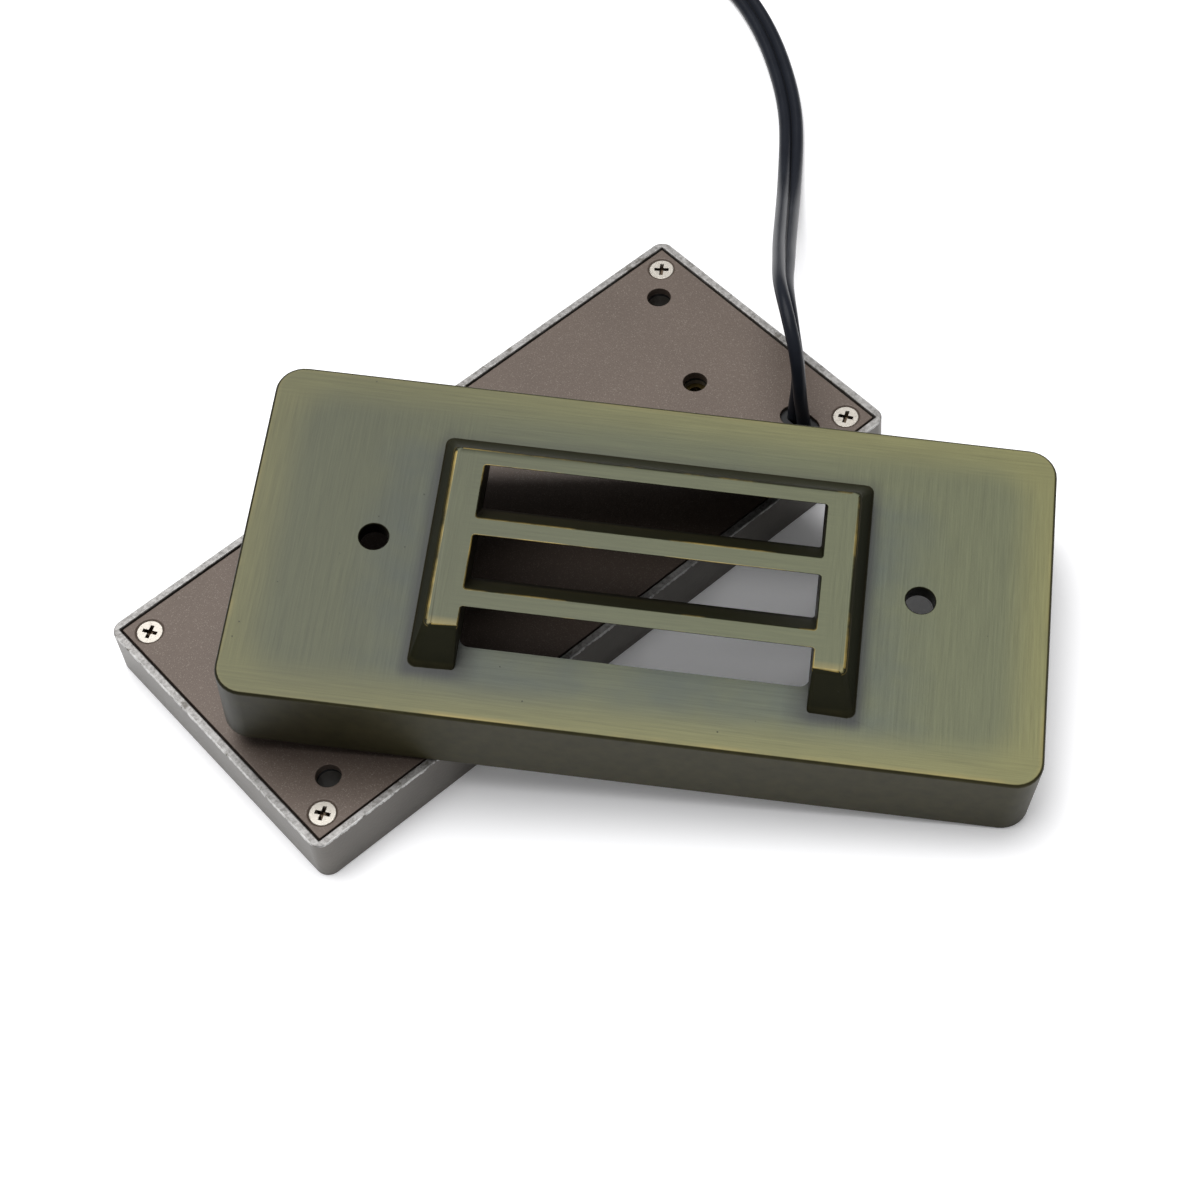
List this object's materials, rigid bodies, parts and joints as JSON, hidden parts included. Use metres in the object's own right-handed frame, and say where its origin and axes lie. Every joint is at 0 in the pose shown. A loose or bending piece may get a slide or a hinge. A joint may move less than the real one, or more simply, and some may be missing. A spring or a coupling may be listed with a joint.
{
  "type": "step light",
  "caption": "Low-voltage brick-shaped step light: sealed flat light engine with a twin cable lead, and a cast brass cover with a louvred hood resting on its edge.",
  "frame": {"origin": "centre of the light engine's front face, which lies on the floor in this arrangement", "axes": "+Z out of the engine's back, up in this arrangement; +X along its length to the end where the cable leaves; +Y across it, away from the leaning cover"},
  "size_m": [0.324, 0.292, 0.0457],
  "materials": {
    "housing_grey": "grey powder coat on die-cast aluminium, rim ground bright",
    "plate_grey": "warm grey powder coat with a fine sparkle",
    "silicone": "soft black silicone",
    "steel": "bright stainless steel",
    "bright_brass": "bright turned brass",
    "glass": "clear toughened glass",
    "white_board": "white solder mask on an aluminium board",
    "phosphor": "yellow phosphor in a white package",
    "red_pvc": "red wire insulation",
    "black_pvc": "black PVC with a soft sheen",
    "green_board": "green solder mask on a glass-fibre board",
    "black_package": "black moulding compound",
    "ferrite": "dark grey ferrite",
    "capacitor_yellow": "yellow moulding compound",
    "tinned_copper": "tinned copper strands",
    "clamp_plastic": "natural nylon",
    "aged_brass": "antique brass with worn edges"
  },
  "bodies": {
    "engine": {"housing": "housing_grey", "back_plate": "plate_grey", "back_gasket": "silicone", "back_screws": "steel", "column_seals": "silicone", "cover_screw_inserts": "bright_brass", "lens": "glass", "lens_seal": "silicone", "led_board": "white_board", "leds": "phosphor", "led_board_screws": "steel", "led_wire_red": "red_pvc", "led_wire_black": "black_pvc", "driver_board": "green_board", "driver_board_screws": "steel", "rectifier": "black_package", "driver_ic": "black_package", "inductor": "ferrite", "capacitors": "capacitor_yellow", "cable_grommet": "silicone", "cable_legs": "black_pvc", "cable_strands": "tinned_copper", "cable_clamp": "clamp_plastic", "cable_clamp_screws": "steel", "cable": "black_pvc", "cable_coil": "black_pvc", "cable_ends": "tinned_copper"},
    "cover_body": {"cover": "aged_brass"}
  },
  "joints": [
    {"name": "cover_lift", "type": "slide", "parent": "engine", "child": "cover_body", "axis": [0, 0, 1], "range_m": [0, 0.06]}
  ]
}
